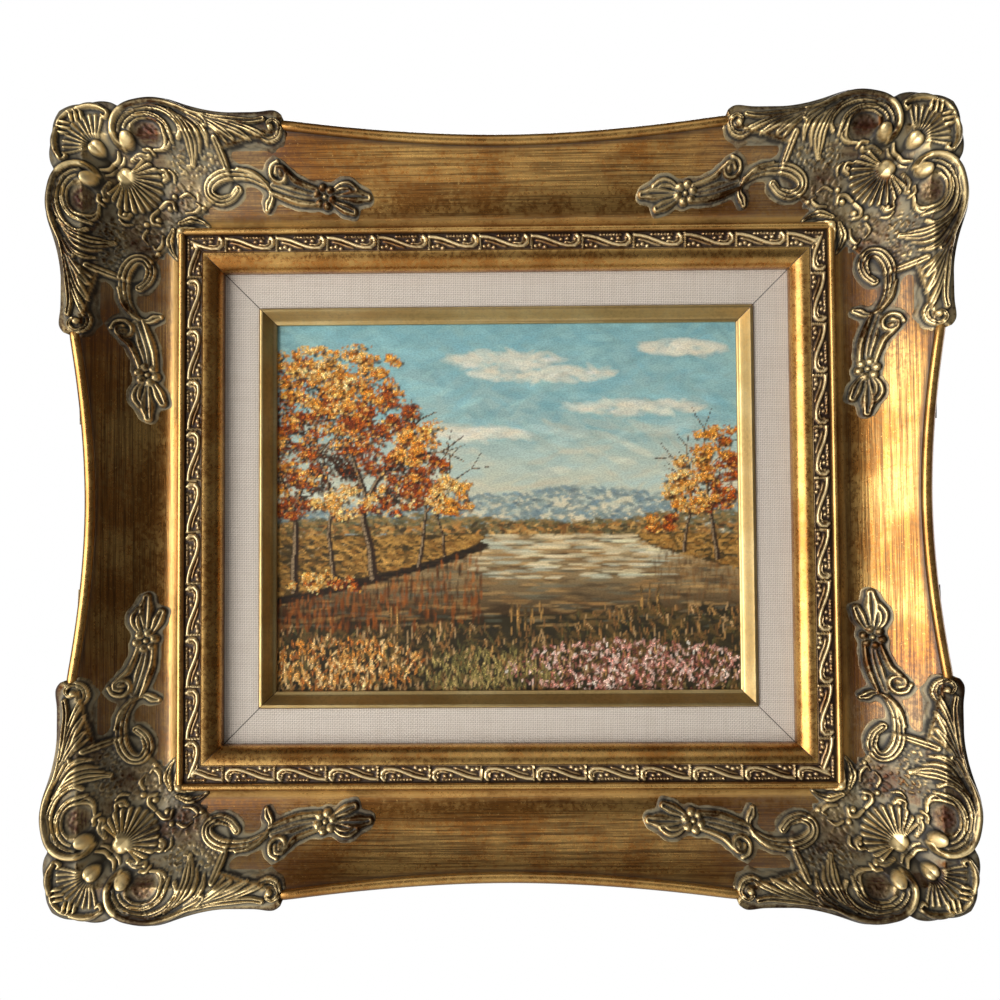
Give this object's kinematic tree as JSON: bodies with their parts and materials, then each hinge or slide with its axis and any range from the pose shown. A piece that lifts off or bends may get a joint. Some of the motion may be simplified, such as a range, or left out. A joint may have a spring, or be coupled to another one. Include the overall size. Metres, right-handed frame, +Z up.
{
  "type": "framed oil painting",
  "caption": "Small framed oil painting to hang on a wall: swept gilt frame with cast scroll and shell corners, linen liner, gilt slip and stretched canvas.",
  "frame": {"origin": "middle of the hanger's back face, in the plane of the wall, behind the top rail", "axes": "+X to the viewer's right, the painted face looks along -Y away from the wall, +Z up"},
  "size_m": [0.4728, 0.0621, 0.4221],
  "materials": {
    "gilt": "wooden moulding, bronze-gold leaf brushed along the rail over red-brown clay",
    "cast_gilt": "moulded composition ornament, rubbed gold crests over a grey-green wash",
    "linen": "plain-weave natural linen laid over wood",
    "pale_gilt": "wooden slip in pale gold leaf, rubbed at the edges",
    "painted_canvas": "oil paint on primed cotton canvas, bare cloth behind",
    "pine": "bare planed pine",
    "zinc_steel": "zinc-plated pressed sheet and nails"
  },
  "bodies": {
    "root": {"rail_top": "gilt", "rail_bottom": "gilt", "rail_left": "gilt", "rail_right": "gilt", "corner_top_right": "cast_gilt", "corner_top_left": "cast_gilt", "corner_bottom_left": "cast_gilt", "corner_bottom_right": "cast_gilt", "liner_top": "linen", "liner_bottom": "linen", "liner_left": "linen", "liner_right": "linen", "slip_top": "pale_gilt", "slip_bottom": "pale_gilt", "slip_left": "pale_gilt", "slip_right": "pale_gilt", "canvas": "painted_canvas", "stretcher_top": "pine", "stretcher_bottom": "pine", "stretcher_left": "pine", "stretcher_right": "pine", "hanger": "zinc_steel", "hanger_nail_left": "zinc_steel", "hanger_nail_right": "zinc_steel"}
  },
  "joints": []
}
